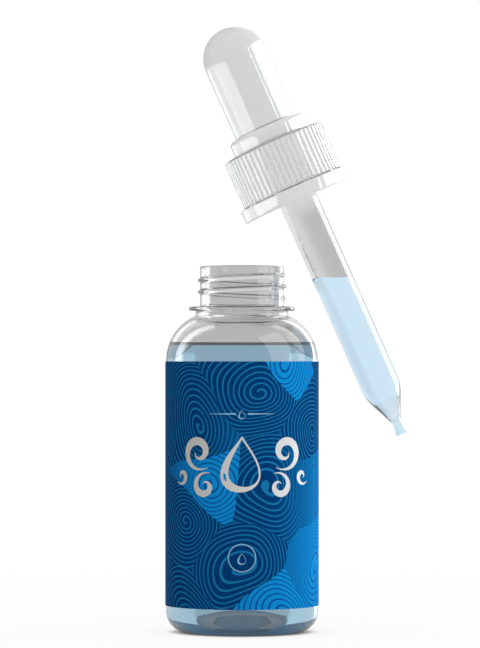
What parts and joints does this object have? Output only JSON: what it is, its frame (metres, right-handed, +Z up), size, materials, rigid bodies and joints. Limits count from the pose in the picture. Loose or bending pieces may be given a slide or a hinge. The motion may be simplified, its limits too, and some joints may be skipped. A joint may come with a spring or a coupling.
{
  "type": "dropper bottle",
  "caption": "Clear round bottle of nail oil with a printed wrap label, its ribbed screw dropper drawn out and held tilted beside the mouth, pipette part filled.",
  "frame": {"origin": "centre of the ring that the bottle stands on, on the bottle's axis", "axes": "+Z up along the bottle's axis, -Y towards the picture's viewer, +X to the viewer's right, where the held pipette's tip points"},
  "size_m": [0.0486, 0.0308, 0.1214],
  "materials": {
    "clear_glass": "clear and glossy",
    "label_film": "satin printed film",
    "tinted_oil": "clear pale blue liquid",
    "white_plastic": "glossy moulded plastic",
    "white_rubber": "smooth soft rubber",
    "seal_plastic": "waxy soft plastic",
    "pipette_glass": "clear drawn tube"
  },
  "bodies": {
    "bottle": {"bottle": "clear_glass", "wrap_label": "label_film", "bottle_oil": "tinted_oil"},
    "dropper": {"bulb": "white_rubber", "neck_seal": "seal_plastic", "pipette": "pipette_glass"},
    "collar": {"collar": "white_plastic", "tamper_ring": "white_plastic"},
    "oil_column": {"pipette_oil": "tinted_oil"}
  },
  "joints": [
    {"name": "dropper_lift", "type": "slide", "parent": "bottle", "child": "dropper", "axis": [0, 0, 1], "range_m": [0, 0.038]},
    {"name": "collar_turn", "type": "hinge", "parent": "dropper", "child": "collar", "pos_m": [0.0114, 0, 0.08629], "axis": [-0.4051, 0, 0.9143], "continuous": true},
    {"name": "bulb_squeeze", "type": "slide", "parent": "dropper", "child": "oil_column", "axis": [0.4051, 0, -0.9143], "range_m": [0, 0.015], "stiffness_N_per_m": 50, "springref_m": -0.001, "deforming": ["bulb", "pipette_oil"]}
  ]
}
